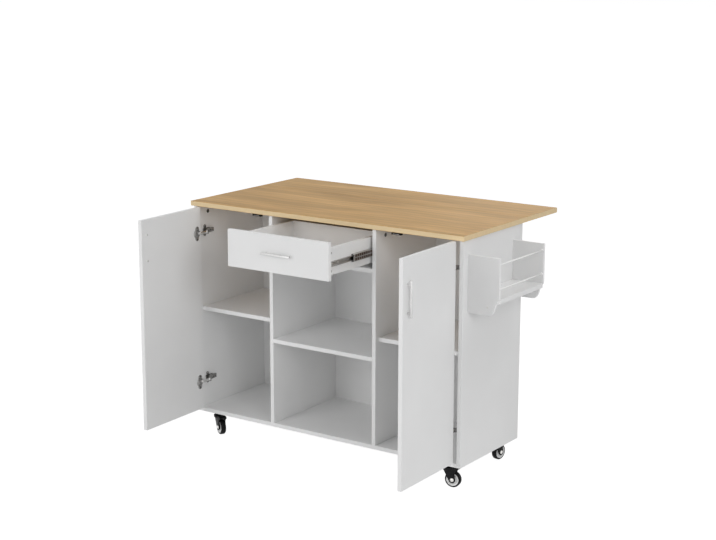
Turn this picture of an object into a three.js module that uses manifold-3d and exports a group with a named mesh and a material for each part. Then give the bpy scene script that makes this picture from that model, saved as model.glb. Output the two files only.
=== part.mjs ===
// A kitchen island on casters, with a drop leaf, two doors, a drawer and a side rack.
//
// It stands in the pose of a shop display: the leaf up, both doors open, the drawer pulled out.
// X runs along the length, Y from the front to the back, Z up. All sizes are in millimetres.
// Inside this file x = 0 is the middle of the cabinet, y = 0 its front plane and z = 0 the floor.
// The finished group is then moved so that its origin is the middle of its footprint.

import * as THREE from 'three';
import { mergeVertices } from 'three/addons/utils/BufferGeometryUtils.js';
import Module from 'manifold-3d';

const wasm = await Module();
wasm.setup();

// ---------------------------------------------------------------- driving dimensions

const seat = 0.3; // gap between a fitting and what carries it
const round = 24; // facets of a turned piece

// cabinet
const cabinetWidth = 1172;
const cabinetDepth = 405;
const cabinetHeight = 799;
const board = 15; // panels, shelves, doors
const backBoard = 12;
const middleBay = 438; // clear width between the dividers
const shelfSetback = 20; // side shelves stand back so that the doors close in front of them
const sideShelfHeight = 409; // shelf tops above the cabinet's underside
const middleShelfHeight = 338;
const drawerShelfHeight = 657;

// worktop and leaf
const topThickness = 18;
const sideOverhang = 7.5;
const frontOverhang = 11;
const backOverhang = 20;
const leafDepth = 224;
const leafGap = 1;
const topChamfer = 1;

// doors
const doorGap = 2;
const doorFloorGap = 2.5;
const doorTopGap = 2.5;
const leftDoorOpen = 88.5; // degrees, as displayed
const rightDoorOpen = 91;
const doorAxisOut = 8.2; // hinge axis in front of the cabinet
const doorAxisIn = -0.7; // hinge axis from the side panel's inner face, towards the bay

// concealed hinges
const hingeFromTop = 97;
const hingeFromBottom = 108;
const cupRadius = 17.5;
const cupDepth = 11.2;
const cupEdge = 5; // from the door's edge to the cup
const cupWall = 1.1;
const flangeThickness = 1.2;
const flangeLength = 56;
const flangeWidth = 22;
const flangePitch = 44; // between the two screws of the flange
const armPivotIn = 27; // link pivot from the side panel, and behind the front plane
const armPivotBack = 19;
const linkSlot = 10; // width of the fork in the arm's nose, where the link sits
const linkWidth = 9.4;
const linkLength = 42;
const linkThickness = 3;
const linkHook = 2; // how far the link's tip bends towards the cup
const pinRadius = 1.6;
const plateLine = 38; // line of the mounting plate's screws behind the front plane
const platePitch = 29; // between those two screws
const wingRadius = 6.5;
const plateSheet = 2.5;
const plateRailTop = 7;

// bar handles
const handleLength = 124;
const handlePitch = 96;
const handleBar = 8;
const handleReach = 18; // from the door's face to the outside of the bar
const handleFromEdge = 30;
const leftHandleDrop = 103; // handle's middle below the door's top
const rightHandleDrop = 136;

// drawer
const drawerPull = 256; // how far it stands out, as displayed
const drawerTopGap = 8; // from the drawer's front to the worktop
const drawerFloorGap = 2;
const drawerSideGap = 2.5;
const drawerSideDrop = 31; // from the worktop to the drawer's sides
const drawerSideRise = 18; // from the board under the drawer to the drawer's sides
const drawerBoard = 12;
const drawerBackGap = 28;
const drawerBottomThickness = 5;
const drawerBottomRise = 8;
const grooveDepth = 5;

// ball bearing slides
const slideBackGap = 25; // from the slide's end to the back panel
const slideRise = 0.425; // slide's middle, as a share of the drawer side's height
const slideDepth = 12.7;
const slideSetback = 18;
const slideSheet = 1.2;
const outerHeight = 35;
const middleHeight = 27;
const innerHeight = 17.5;
const slideShare = 0.5; // share of the pull that the middle member follows

// side rack
const rackDrop = 51.5; // below the worktop's underside
const rackFront = 30; // behind the front plane
const rackLength = 318;
const rackReach = 122;
const rackBoard = 11;
const rackHeight = 199.5;
const rackCheek = 141.5; // straight part of the bracket's outer edge
const rackFoot = 85; // where the bracket's flat bottom ends
const rackShelfThickness = 15;
const railRadius = 3;
const railInset = 6;
const upperRailDrop = 23.5;
const lowerRailDrop = 107;
const towelBarRadius = 6;
const towelBarReach = 78;
const towelBarDrop = 171.5;

// folding brackets that carry the leaf
const leafAxisDrop = 7; // turning axis below the worktop's underside
const bracketInset = 186; // from the cabinet's sides
const bracketSheet = 2;
const bracketWidth = 30;
const bracketLegLength = 235;
const armWidth = 23.4;
const armTail = 10; // arm beyond the folded brace's pin
const bracePivotDrop = 80;
const braceLength = 120;
const braceWidth = 16;
const braceRadius = 4.3;
const rivetRadius = 2.5;
const rivetPlay = 0.4;

// casters
const casterHeight = 88;
const casterInset = 71; // from the cabinet's side
const casterSetback = 38; // from its front and back
const wheelRadius = 29;
const wheelWidth = 20;
const hubRadius = 23; // dished face inside the tyre
const axleRadius = 3;
const axlePlay = 0.4;
const casterTrail = 20;
const capRadius = 25; // round cap under the bottom panel
const capThickness = 3.5;
const neckRadius = 14;
const crownRadius = 21;
const crownTop = 76;
const crownBottom = 63;
const stemRadius = 5.5;
const stemLength = 12; // part of the stem that turns in the bottom panel
const forkSheet = 2.5;
const forkWidth = 28;
const forkRear = 17; // behind the stem's axis
const forkReach = 40; // ahead of it, over the wheel
const bossRadius = 12; // round end of a cheek at the axle
const casterCorners = {
  front_left: [-1, 0],
  front_right: [1, 0],
  back_left: [-1, 1],
  back_right: [1, 1],
};
const casterTurns = { front_left: -29, front_right: 11, back_left: 60, back_right: 80 };

// ---------------------------------------------------------------- places worked out from them

const halfWidth = cabinetWidth / 2;
const bayEdge = halfWidth - board; // inner face of a side panel
const dividerFace = middleBay / 2;
const cabinetBottom = casterHeight;
const cabinetTop = cabinetBottom + cabinetHeight;
const floorTop = cabinetBottom + board; // top of the bottom panel
const backFace = cabinetDepth - backBoard;
const worktopTop = cabinetTop + topThickness;
const topHalf = halfWidth + sideOverhang;
const fixedTopBack = cabinetDepth + backOverhang;
const leafAxisY = fixedTopBack + leafGap / 2;
const leafAxisZ = cabinetTop - leafAxisDrop;
const doorBottom = floorTop + doorFloorGap;
const doorTop = cabinetTop - doorTopGap;
const doorWidth = bayEdge - dividerFace - board - 2 * doorGap;
const cupCentre = cupEdge + cupRadius; // from the door's hinge edge
const hingeLevels = [doorTop - hingeFromTop, doorBottom + hingeFromBottom];
const hingeNames = ['upper', 'lower'];
const drawerFloor = cabinetBottom + drawerShelfHeight;
const drawerSpace = cabinetTop - drawerFloor;
const drawerFrontHeight = drawerSpace - drawerFloorGap - drawerTopGap;
const drawerFrontBottom = drawerFloor + drawerFloorGap;
const drawerSideHeight = drawerSpace - drawerSideRise - drawerSideDrop;
const drawerSideBottom = drawerFloor + drawerSideRise;
const drawerDepth = backFace - board - drawerBackGap;
const drawerHalf = dividerFace - slideDepth - seat; // outer face of a drawer side
const slideLength = backFace - slideSetback - slideBackGap;
const slideLevel = drawerSideBottom + slideRise * drawerSideHeight;
const bracketPlace = halfWidth - bracketInset;
const armLength = bracePivotDrop + braceLength + armTail;
const rackTop = cabinetTop - rackDrop;
const rackShelfTop = rackTop - rackCheek;

// ---------------------------------------------------------------- materials

function plain(color, roughness, metalness = 0) {
  return new THREE.MeshStandardMaterial({ color, roughness, metalness });
}
const finish = {
  white: () => plain(0xe6e5e3, 0.45),
  oak: () => plain(0xbe9b6e, 0.4),
  handle: () => plain(0xd8d8d6, 0.35, 0.3),
  nickel: () => plain(0xa9a9a6, 0.3, 0.9),
  steel: () => plain(0x77777a, 0.35, 0.9),
  rod: () => plain(0xf2f2f0, 0.35),
  black: () => plain(0x1c1c1e, 0.5),
  wheel: () => plain(0x2a2a2c, 0.55),
};

// ---------------------------------------------------------------- solid helpers

function toSolid(geometry) {
  const bare = geometry.clone();
  bare.deleteAttribute('normal');
  bare.deleteAttribute('uv');
  const merged = mergeVertices(bare, 1e-4);
  return new wasm.Manifold(new wasm.Mesh({
    numProp: 3,
    vertProperties: Float32Array.from(merged.attributes.position.array),
    triVerts: Uint32Array.from(merged.index.array),
  }));
}

function toGeometry(solid) {
  const mesh = solid.getMesh();
  const geometry = new THREE.BufferGeometry();
  geometry.setAttribute('position', new THREE.BufferAttribute(Float32Array.from(mesh.vertProperties), 3));
  geometry.setIndex(new THREE.BufferAttribute(Uint32Array.from(mesh.triVerts), 1));
  return geometry;
}

// joins the first list of geometries and cuts the second out of the result
function shape3d(added, removed = []) {
  let solid = toSolid(added[0]);
  for (const piece of added.slice(1)) {
    solid = solid.add(toSolid(piece));
  }
  for (const piece of removed) {
    solid = solid.subtract(toSolid(piece));
  }
  return toGeometry(solid);
}

function box(x0, x1, y0, y1, z0, z1) {
  const geometry = new THREE.BoxGeometry(x1 - x0, y1 - y0, z1 - z0);
  return geometry.translate((x0 + x1) / 2, (y0 + y1) / 2, (z0 + z1) / 2);
}

// outlines: (x, y) pushed along Z, (x, z) pushed along Y, (y, z) pushed along X
function pushZ(shape, z0, z1) {
  const geometry = new THREE.ExtrudeGeometry(shape, { depth: z1 - z0, bevelEnabled: false, curveSegments: 6 });
  return geometry.translate(0, 0, z0);
}

function pushY(shape, y0, y1) {
  const geometry = new THREE.ExtrudeGeometry(shape, { depth: y1 - y0, bevelEnabled: false, curveSegments: 6 });
  return geometry.rotateX(Math.PI / 2).translate(0, y1, 0);
}

function pushX(shape, x0, x1) {
  const turn = new THREE.Matrix4().set(0, 0, 1, 0, 1, 0, 0, 0, 0, 1, 0, 0, 0, 0, 0, 1);
  const geometry = new THREE.ExtrudeGeometry(shape, { depth: x1 - x0, bevelEnabled: false, curveSegments: 6 });
  return geometry.applyMatrix4(turn).translate(x0, 0, 0);
}

function polygon(points) {
  return new THREE.Shape(points.map(([a, b]) => new THREE.Vector2(a, b)));
}

function rectangle(a0, a1, b0, b1) {
  return polygon([[a0, b0], [a1, b0], [a1, b1], [a0, b1]]);
}

// a bar outline with round ends, between two points
function stadium(ax, ay, bx, by, radius) {
  const angle = Math.atan2(by - ay, bx - ax);
  const shape = new THREE.Shape();
  shape.absarc(bx, by, radius, angle - Math.PI / 2, angle + Math.PI / 2, false);
  shape.absarc(ax, ay, radius, angle + Math.PI / 2, angle + 1.5 * Math.PI, false);
  shape.closePath();
  return shape;
}

function rodX(x0, x1, y, z, radius, facets = 16) {
  const geometry = new THREE.CylinderGeometry(radius, radius, x1 - x0, facets);
  return geometry.rotateZ(Math.PI / 2).translate((x0 + x1) / 2, y, z);
}

function rodY(y0, y1, x, z, radius, facets = 16) {
  const geometry = new THREE.CylinderGeometry(radius, radius, y1 - y0, facets);
  return geometry.translate(x, (y0 + y1) / 2, z);
}

function rodZ(z0, z1, x, y, radius, facets = 16) {
  const geometry = new THREE.CylinderGeometry(radius, radius, z1 - z0, facets);
  return geometry.rotateX(Math.PI / 2).translate(x, y, (z0 + z1) / 2);
}

// a turned piece: (radius, height) points round the Z axis
function turned(points, facets = round) {
  const outline = points.map(([r, h]) => new THREE.Vector2(r, h));
  return new THREE.LatheGeometry(outline, facets).rotateX(Math.PI / 2);
}

// the mirror image in X, with its faces turned out again
function mirrored(geometry) {
  const copy = geometry.index ? geometry.toNonIndexed() : geometry.clone();
  const position = copy.attributes.position;
  const flipped = new Float32Array(position.count * 3);
  for (let i = 0; i < position.count; i += 3) {
    [i, i + 2, i + 1].forEach((from, k) => {
      flipped[(i + k) * 3] = -position.getX(from);
      flipped[(i + k) * 3 + 1] = position.getY(from);
      flipped[(i + k) * 3 + 2] = position.getZ(from);
    });
  }
  const result = new THREE.BufferGeometry();
  result.setAttribute('position', new THREE.BufferAttribute(flipped, 3));
  return result;
}

// pieces are drawn for the left-hand side, where inwards is +X
function forSide(geometry, side) {
  return side === 'left' ? geometry : mirrored(geometry);
}

function piece(name, geometry, material) {
  const flat = geometry.index ? geometry.toNonIndexed() : geometry;
  flat.deleteAttribute('normal');
  flat.deleteAttribute('uv');
  flat.computeVertexNormals();
  const mesh = new THREE.Mesh(flat, material());
  mesh.name = name;
  return mesh;
}

const sides = ['left', 'right'];
const sign = { left: -1, right: 1 };

// ---------------------------------------------------------------- cabinet

function sidePanel(side) {
  const outer = sign[side] * halfWidth;
  const inner = sign[side] * bayEdge;
  const panel = box(Math.min(outer, inner), Math.max(outer, inner), 0, cabinetDepth, cabinetBottom, cabinetTop);
  return piece(`side_panel_${side}`, panel, finish.white);
}

function divider(side) {
  const near = sign[side] * dividerFace;
  const far = sign[side] * (dividerFace + board);
  const panel = box(Math.min(near, far), Math.max(near, far), 0, backFace, floorTop, cabinetTop);
  return piece(`divider_${side}`, panel, finish.white);
}

// the bottom panel carries the sockets that the casters' stems turn in
function bottomPanel() {
  const slab = box(-bayEdge, bayEdge, 0, cabinetDepth, cabinetBottom, floorTop);
  const sockets = Object.keys(casterCorners).map((corner) => {
    const [x, y] = casterPivot(corner);
    return rodZ(cabinetBottom - 1, cabinetBottom + stemLength, x, y, stemRadius + seat);
  });
  return piece('bottom_panel', shape3d([slab], sockets), finish.white);
}

function shelf(name, x0, x1, height, front) {
  const top = cabinetBottom + height;
  return piece(name, box(x0, x1, front, backFace, top - board, top), finish.white);
}

function cabinetBoards() {
  const bayStart = dividerFace + board;
  return [
    ...sides.map(sidePanel),
    ...sides.map(divider),
    bottomPanel(),
    piece('back_panel', box(-bayEdge, bayEdge, backFace, cabinetDepth, floorTop, cabinetTop), finish.white),
    shelf('side_shelf_left', -bayEdge, -bayStart, sideShelfHeight, shelfSetback),
    shelf('side_shelf_right', bayStart, bayEdge, sideShelfHeight, shelfSetback),
    shelf('middle_shelf', -dividerFace, dividerFace, middleShelfHeight, 0),
    shelf('drawer_shelf', -dividerFace, dividerFace, drawerShelfHeight, 0),
  ];
}

// a top board with eased upper and lower edges along its length
function topBoard(y0, y1) {
  const c = topChamfer;
  const outline = polygon([
    [y0, cabinetTop + c], [y0 + c, cabinetTop], [y1 - c, cabinetTop], [y1, cabinetTop + c],
    [y1, worktopTop - c], [y1 - c, worktopTop], [y0 + c, worktopTop], [y0, worktopTop - c],
  ]);
  return pushX(outline, -topHalf, topHalf);
}

// ---------------------------------------------------------------- handles

// a slim bar on two posts, along Z, standing out towards -X from the plane x = 0
function barHandle() {
  const reach = handleReach;
  const bevel = 1.5;
  const half = handleBar / 2;
  const section = polygon([
    [-reach, -half + bevel], [-reach + bevel, -half], [-reach + handleBar, -half],
    [-reach + handleBar, half], [-reach + bevel, half], [-reach, half - bevel],
  ]);
  const bar = pushZ(section, -handleLength / 2, handleLength / 2);
  const posts = [-1, 1].map((end) => {
    const z = (end * handlePitch) / 2;
    return box(-reach + handleBar / 2, -seat, -half + 0.5, half - 0.5, z - half, z + half);
  });
  return shape3d([bar, ...posts]);
}

// ---------------------------------------------------------------- doors and concealed hinges

// drawn for the left door, closed, from its hinge axis: x inwards, y backwards
const doorEdge = doorGap - doorAxisIn;
const doorFront = doorAxisOut;
const doorInner = doorFront + board;

function doorLeaf(side) {
  const slab = box(doorEdge, doorEdge + doorWidth, doorFront, doorInner, doorBottom, doorTop);
  const bores = hingeLevels.map((z) => rodY(
    doorInner - cupDepth - seat, doorInner + 1, doorEdge + cupCentre, z, cupRadius + seat, round,
  ));
  return piece(`door_${side}`, forSide(shape3d([slab], bores), side), finish.white);
}

// a pressed cup with its rim, screw flange and the knuckle that the link folds on
function hingeCup(level) {
  const x = doorEdge + cupCentre;
  const rim = doorInner + seat;
  const hollow = cupRadius - cupWall;
  const cup = turned([
    [0, -cupDepth], [cupRadius - 1, -cupDepth], [cupRadius, -cupDepth + 1], [cupRadius, flangeThickness],
    [hollow, flangeThickness], [hollow, -cupDepth + cupWall], [0, -cupDepth + cupWall],
  ]);
  cup.rotateX(-Math.PI / 2).translate(x, doorInner, level);
  const flangeOutline = stadium(x, level - flangeLength / 2 + flangeWidth / 2, x,
    level + flangeLength / 2 - flangeWidth / 2, flangeWidth / 2);
  const flange = pushY(flangeOutline, rim, rim + flangeThickness);
  const throat = rodY(rim - 1, rim + flangeThickness + 1, x, level, hollow, round);
  const knuckleStart = x - hollow + 6;
  const knuckle = box(knuckleStart, knuckleStart + 6, doorInner - cupDepth + cupWall / 2,
    doorInner + flangeThickness, level - 5, level + 5);
  const plate = shape3d([flange], [throat]);
  const notch = box(x - cupRadius - 1, x - hollow + 4, doorInner - 0.7, doorInner + 2, level - 6, level + 6);
  const screws = [-1, 1].map((end) => rodY(rim + flangeThickness / 2, rim + flangeThickness + 1,
    x, level + (end * flangePitch) / 2, 3.6, 12));
  return shape3d([plate, shape3d([cup], [notch]), knuckle, ...screws]);
}

function hingeCups(side) {
  return hingeLevels.map((z, i) => {
    const cup = forSide(hingeCup(z), side);
    return piece(`hinge_cup_${side}_${hingeNames[i]}`, cup, finish.nickel);
  });
}

function doorHandle(side) {
  const drop = side === 'left' ? leftHandleDrop : rightHandleDrop;
  const handle = barHandle().rotateZ(Math.PI / 2);
  handle.translate(doorEdge + doorWidth - handleFromEdge, doorFront, doorTop - drop);
  return piece(`handle_${side}`, forSide(handle, side), finish.handle);
}

// the open door: everything in this group turns about the hinge axis
function door(side) {
  const open = side === 'left' ? leftDoorOpen : rightDoorOpen;
  const group = new THREE.Group();
  group.position.set(sign[side] * (bayEdge - doorAxisIn), -doorAxisOut, 0);
  group.rotation.z = sign[side] * THREE.MathUtils.degToRad(open);
  group.add(doorLeaf(side), ...hingeCups(side), doorHandle(side));
  return group;
}

// the shiny link from the arm's pin to the cup, drawn from that pin; its tip hooks into the cup
function hingeLink(level) {
  const z0 = level - linkWidth / 2;
  const z1 = level + linkWidth / 2;
  const half = linkThickness / 2;
  const bar = pushZ(stadium(0, 0, linkLength - half, 0, half), z0, z1);
  const eye = rodZ(z0, z1, 0, 0, pinRadius + 1.6, round);
  const hook = box(linkLength - linkThickness, linkLength, -half - linkHook, 0, z0, z1);
  const bore = rodZ(z0 - 1, z1 + 1, 0, 0, pinRadius + seat, round);
  return shape3d([bar, eye, hook], [bore]);
}

// both links of a door turn about the arms' pins and keep parallel to the door
function hingeLinks(side) {
  const open = side === 'left' ? leftDoorOpen : rightDoorOpen;
  const group = new THREE.Group();
  group.position.set(sign[side] * (bayEdge - armPivotIn - seat), armPivotBack, 0);
  group.rotation.z = sign[side] * THREE.MathUtils.degToRad(open);
  hingeLevels.forEach((z, i) => {
    const link = forSide(hingeLink(z), side);
    group.add(piece(`hinge_link_${side}_${hingeNames[i]}`, link, finish.nickel));
  });
  return group;
}

// the arm: a cranked channel whose nose is a fork that holds the pin of the link
function hingeArm(level) {
  const half = 7.5;
  const nose = 4.2;
  const base = plateRailTop - 0.5;
  const outline = new THREE.Shape();
  outline.moveTo(base, 78);
  outline.lineTo(base + 6, 78);
  outline.quadraticCurveTo(base + 8, 60, 15, 46);
  outline.lineTo(21, 34);
  outline.lineTo(armPivotIn + nose, armPivotBack + 5);
  outline.absarc(armPivotIn, armPivotBack, nose, 0, -Math.PI, true);
  outline.lineTo(armPivotIn - nose, armPivotBack + 5);
  outline.lineTo(13, 32);
  outline.lineTo(base, 44);
  outline.closePath();
  const body = pushZ(outline, level - half, level + half);
  const throat = box(armPivotIn - 12, armPivotIn + 12, armPivotBack - 8, armPivotBack + 7,
    level - linkSlot / 2, level + linkSlot / 2);
  const pin = rodZ(level - half, level + half, armPivotIn, armPivotBack, pinRadius, 12);
  const screws = [68, 56].map((y) => rodX(base + 3, base + 8.5, y, level, 3, 12));
  return shape3d([shape3d([body], [throat]), pin, ...screws]);
}

// the wing plate that is screwed to the side panel, with the rail that carries the arm
function mountingPlate(level) {
  const tip = platePitch / 2 + 1.5;
  const wing = pushX(stadium(plateLine, level - tip, plateLine, level + tip, wingRadius), 0, plateSheet);
  const foot = box(0, plateSheet, plateLine - 10, plateLine + 28, level - 8.5, level + 8.5);
  const rail = box(0, plateRailTop, plateLine + 6, plateLine + 26, level - 6, level + 6);
  const screws = [-1, 1].map((end) => rodX(
    1, plateSheet + 1.2, plateLine, level + (end * platePitch) / 2, 3.8, 12,
  ));
  return shape3d([wing, foot, rail, ...screws]);
}

// arm and plate clip together and stay on the side panel
function hingeArms() {
  return sides.flatMap((side) => hingeLevels.map((z, i) => {
    const arm = shape3d([mountingPlate(z), hingeArm(z)]).translate(-bayEdge + seat, 0, 0);
    return piece(`hinge_arm_${side}_${hingeNames[i]}`, forSide(arm, side), finish.nickel);
  }));
}

// ---------------------------------------------------------------- drawer

function drawerFront() {
  const half = dividerFace - drawerSideGap;
  const top = drawerFrontBottom + drawerFrontHeight;
  return piece('drawer_front', box(-half, half, 0, board, drawerFrontBottom, top), finish.white);
}

function drawerBottomPanel(play) {
  const half = drawerHalf - drawerBoard + grooveDepth - play;
  const z = drawerSideBottom + drawerBottomRise;
  const back = board + drawerDepth - drawerBoard + grooveDepth - play;
  return box(-half, half, board + play, back, z - (seat - play), z + drawerBottomThickness + (seat - play));
}

function drawerBox() {
  const inner = drawerHalf - drawerBoard;
  const end = board + drawerDepth;
  const top = drawerSideBottom + drawerSideHeight;
  const groove = drawerBottomPanel(0);
  const sidePieces = sides.map((side) => {
    const wall = forSide(box(-drawerHalf, -inner, board, end, drawerSideBottom, top), side);
    return piece(`drawer_side_${side}`, shape3d([wall], [groove]), finish.white);
  });
  const back = box(-inner, inner, end - drawerBoard, end, drawerSideBottom, top);
  return [
    ...sidePieces,
    piece('drawer_back', shape3d([back], [groove]), finish.white),
    piece('drawer_bottom', drawerBottomPanel(seat), finish.white),
  ];
}

function drawerHandle() {
  const handle = barHandle().rotateZ(Math.PI / 2).rotateY(Math.PI / 2);
  handle.translate(0, 0, drawerFrontBottom + drawerFrontHeight / 2);
  return piece('drawer_handle', handle, finish.handle);
}

// a sheet steel channel for the left-hand slide: the web at x = near, the lips reaching to x = far
function slideMember(near, far, height, lip, y0) {
  const t = slideSheet;
  const half = height / 2;
  const inwards = Math.sign(far - near);
  const at = (a, b) => [near + inwards * a, b];
  const reach = Math.abs(far - near);
  const outline = polygon([
    at(0, -half + 1), at(1, -half), at(reach, -half), at(reach, -half + t + lip),
    at(reach - t, -half + t + lip), at(reach - t, -half + t), at(t + 0.6, -half + t), at(t, -half + t + 0.6),
    at(t, half - t - 0.6), at(t + 0.6, half - t), at(reach - t, half - t), at(reach - t, half - t - lip),
    at(reach, half - t - lip), at(reach, half), at(1, half), at(0, half - 1),
  ]);
  return pushY(outline, y0, y0 + slideLength).translate(0, 0, slideLevel);
}

// a member's lips reach down to the next member and hold it
function lipOver(height, next) {
  return (height - next) / 2 - slideSheet - seat;
}

// the three members of a slide, measured from the divider towards the drawer
const slideSections = {
  outer: { near: 0, far: 9.6, height: outerHeight, lip: lipOver(outerHeight, middleHeight) },
  middle: { near: slideSheet + 0.8, far: 11.2, height: middleHeight, lip: lipOver(middleHeight, innerHeight) },
  inner: { near: slideDepth, far: 4.6, height: innerHeight, lip: 1 },
};

function slide(member, side) {
  const { near, far, height, lip } = slideSections[member];
  const left = slideMember(-dividerFace + near, -dividerFace + far, height, lip, slideSetback);
  return piece(`slide_${member}_${side}`, forSide(left, side), finish.steel);
}

function drawer() {
  const group = new THREE.Group();
  group.position.set(0, -drawerPull, 0);
  group.add(drawerFront(), ...drawerBox(), drawerHandle());
  group.add(...sides.map((side) => slide('inner', side)));
  return group;
}

function slideMiddles() {
  const group = new THREE.Group();
  group.position.set(0, -drawerPull * slideShare, 0);
  group.add(...sides.map((side) => slide('middle', side)));
  return group;
}

// ---------------------------------------------------------------- side rack

// the cheek of the rack: straight down, then an ogee in to its foot
function rackBracket(name, y0) {
  const bottom = rackTop - rackHeight;
  const waistLevel = rackTop - rackCheek - 33;
  const outline = new THREE.Shape();
  outline.moveTo(halfWidth, bottom);
  outline.lineTo(halfWidth + rackFoot, bottom);
  outline.quadraticCurveTo(halfWidth + rackReach - 23, bottom + 2, halfWidth + rackReach - 17, waistLevel);
  outline.quadraticCurveTo(halfWidth + rackReach - 10, rackShelfTop - 10, halfWidth + rackReach, rackShelfTop);
  outline.lineTo(halfWidth + rackReach, rackTop);
  outline.lineTo(halfWidth, rackTop);
  outline.closePath();
  return piece(name, pushY(outline, y0, y0 + rackBoard), finish.white);
}

function rack() {
  const y0 = rackFront + rackBoard;
  const y1 = rackFront + rackLength - rackBoard;
  const railX = halfWidth + rackReach - railInset;
  const barX = halfWidth + towelBarReach;
  const shelfUnder = rackShelfTop - rackShelfThickness;
  const shelfBoard = box(halfWidth, halfWidth + rackReach, y0, y1, shelfUnder, rackShelfTop);
  return [
    rackBracket('rack_bracket_front', rackFront),
    rackBracket('rack_bracket_back', y1),
    piece('rack_shelf', shelfBoard, finish.white),
    piece('rack_rail_upper', rodY(y0, y1, railX, rackTop - upperRailDrop, railRadius, 12), finish.rod),
    piece('rack_rail_lower', rodY(y0, y1, railX, rackTop - lowerRailDrop, railRadius, 12), finish.rod),
    piece('towel_bar', rodY(y0, y1, barX, rackTop - towelBarDrop, towelBarRadius), finish.rod),
  ];
}

// ---------------------------------------------------------------- drop leaf

// the channel on the cabinet's back, with ears for both pivots; measured from the leaf axis
function wallBracket() {
  const wall = cabinetDepth - leafAxisY + seat;
  const half = bracketWidth / 2;
  const ear = leafAxisDrop - 1;
  const web = box(-half, half, wall, wall + bracketSheet, -bracketLegLength, ear);
  const cheek = polygon([
    [wall, -bracketLegLength], [wall + 12, -bracketLegLength], [wall + 12, -bracePivotDrop - 40],
    [ear, -bracePivotDrop - 10], [ear, ear - 4], [ear - 4, ear], [wall, ear],
  ]);
  const cheeks = [pushX(cheek, -half, -half + bracketSheet), pushX(cheek, half - bracketSheet, half)];
  const pins = [0, -bracePivotDrop].map((z) => rodX(-half - 1, half + 1, 0, z, rivetRadius));
  return shape3d([web, ...cheeks, ...pins]);
}

// the channel under the leaf, with a slot in each cheek for the brace's pin
function leafArm() {
  const half = armWidth / 2;
  const top = leafAxisDrop - seat;
  const nose = leafAxisDrop - 0.6;
  const cheek = new THREE.Shape();
  cheek.moveTo(0, nose);
  cheek.absarc(0, 0, nose, Math.PI / 2, 1.5 * Math.PI, false);
  cheek.lineTo(armLength - 8, -nose);
  cheek.lineTo(armLength, -nose + 8);
  cheek.lineTo(armLength, top);
  cheek.lineTo(nose, top);
  cheek.closePath();
  const inner = half - bracketSheet;
  const notch = rivetRadius + 0.8; // lets the folded arm drop over the brace's rivet
  const web = box(-half, half, leafGap + 1, armLength, top - bracketSheet, top);
  const slotEnds = [bracePinUp() - rivetRadius, bracePinFolded() + rivetRadius];
  const cuts = [-1, 1].flatMap((s) => {
    const near = (s * (half + inner)) / 2 - bracketSheet;
    const far = near + 2 * bracketSheet;
    return [
      rodX(near, far, 0, 0, rivetRadius + rivetPlay),
      box(near, far, slotEnds[0], slotEnds[1], -rivetRadius, rivetRadius),
      box(near, far, bracePivotDrop - notch, bracePivotDrop + notch, -nose - 1, notch),
    ];
  });
  return shape3d([web, pushX(cheek, -half, -inner), pushX(cheek, inner, half)], cuts);
}

// where the brace's pin lies along the arm, with the leaf up and with it folded down
function bracePinUp() {
  return Math.sqrt(braceLength ** 2 - bracePivotDrop ** 2);
}

function bracePinFolded() {
  return bracePivotDrop + braceLength;
}

// the strut from the wall bracket to the arm, a channel drawn from its own pivot along +Y
function leafBrace() {
  const half = braceWidth / 2;
  const bar = pushX(stadium(0, 0, braceLength, 0, braceRadius), -half, half);
  const hollow = box(-half + bracketSheet, half - bracketSheet, braceRadius * 2, braceLength - braceRadius * 2,
    -braceRadius - 1, braceRadius - bracketSheet);
  const bore = rodX(-half - 1, half + 1, 0, 0, rivetRadius + rivetPlay);
  const pin = rodX(-half - 1.2, half + 1.2, braceLength, 0, rivetRadius - 0.2);
  return shape3d([shape3d([bar], [hollow, bore]), pin]);
}

function leafGroup() {
  const group = new THREE.Group();
  group.position.set(0, leafAxisY, leafAxisZ);
  const leafBoard = topBoard(leafGap / 2, leafGap / 2 + leafDepth).translate(0, 0, -leafAxisZ);
  group.add(piece('leaf', leafBoard, finish.oak));
  sides.forEach((side) => {
    const arm = piece(`leaf_arm_${side}`, leafArm(), finish.steel);
    arm.position.x = sign[side] * bracketPlace;
    group.add(arm);
  });
  return group;
}

function leafSupport() {
  const group = new THREE.Group();
  group.position.set(0, leafAxisY, leafAxisZ);
  sides.forEach((side) => {
    const leg = piece(`leaf_wall_bracket_${side}`, wallBracket(), finish.steel);
    leg.position.x = sign[side] * bracketPlace;
    const brace = piece(`leaf_brace_${side}`, leafBrace(), finish.steel);
    brace.position.set(sign[side] * bracketPlace, 0, -bracePivotDrop);
    brace.rotation.x = Math.asin(bracePivotDrop / braceLength);
    group.add(leg, brace);
  });
  return group;
}

// ---------------------------------------------------------------- casters

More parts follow.
